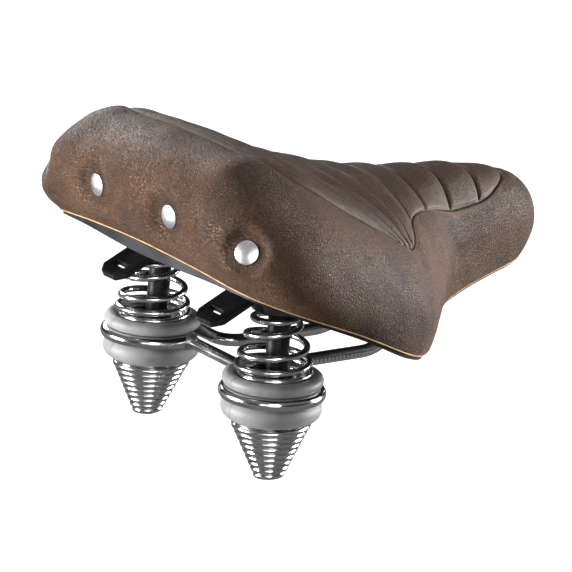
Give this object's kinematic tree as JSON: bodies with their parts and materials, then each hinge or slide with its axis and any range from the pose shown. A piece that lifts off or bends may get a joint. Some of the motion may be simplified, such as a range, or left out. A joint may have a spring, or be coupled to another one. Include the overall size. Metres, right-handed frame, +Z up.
{
  "type": "sprung bicycle saddle",
  "caption": "Wide padded bicycle saddle on a bent-wire rail frame, its rear carried by coil and cone springs set in rubber collars.",
  "frame": {"origin": "midway between the two rail centre lines, at the middle of the straight length where a seatpost head clamps them", "axes": "+X towards the saddle's nose, +Y to the rider's left, +Z up"},
  "size_m": [0.2685, 0.2366, 0.1742],
  "materials": {
    "rail_chrome": "polished chrome plate on steel wire",
    "weld_metal": "plated weld, slightly uneven",
    "spring_chrome": "polished chrome plate on spring wire",
    "elastomer_grey": "matte moulded elastomer",
    "black_plastic": "satin moulded nylon",
    "base_plastic": "fine-textured moulded polypropylene",
    "fastener_steel": "zinc-plated steel",
    "foam": "moulded polyurethane foam",
    "leather_brown": "aged two-tone leather-look cover, semi-matte",
    "leather_panel": "ribbed leather-look panel, semi-matte",
    "edge_cream": "cream cut edge of the cover",
    "rivet_nickel": "polished nickel"
  },
  "bodies": {
    "rail_frame": {"rail_wire_frame": "rail_chrome", "cross_brace": "rail_chrome", "brace_weld_collars": "weld_metal", "elastomer_left": "elastomer_grey", "elastomer_right": "elastomer_grey", "upper_spring_left": "spring_chrome", "upper_spring_right": "spring_chrome", "cone_spring_left": "spring_chrome", "cone_spring_right": "spring_chrome"},
    "seat": {"suspension_post_left": "black_plastic", "suspension_post_right": "black_plastic", "bag_loop_cup_left": "black_plastic", "bag_loop_cup_right": "black_plastic", "post_bolts": "fastener_steel", "post_bolt_washers": "fastener_steel", "base_shell": "base_plastic", "nose_clamp": "base_plastic", "nose_clamp_screws": "fastener_steel", "foam_pad": "foam", "cover": "leather_brown", "ribbed_top_panel": "leather_panel", "cover_edge_bead": "edge_cream", "decor_rivets": "rivet_nickel", "rivet_burr_washers": "fastener_steel"}
  },
  "joints": [
    {"name": "suspension_tilt", "type": "hinge", "parent": "rail_frame", "child": "seat", "pos_m": [0.112, 0, 0.044], "axis": [0, -1, 0], "range_deg": [0, 3.4], "stiffness_Nm_per_rad": 900, "deforming": ["upper_spring_left", "upper_spring_right", "cone_spring_left", "cone_spring_right"]}
  ]
}
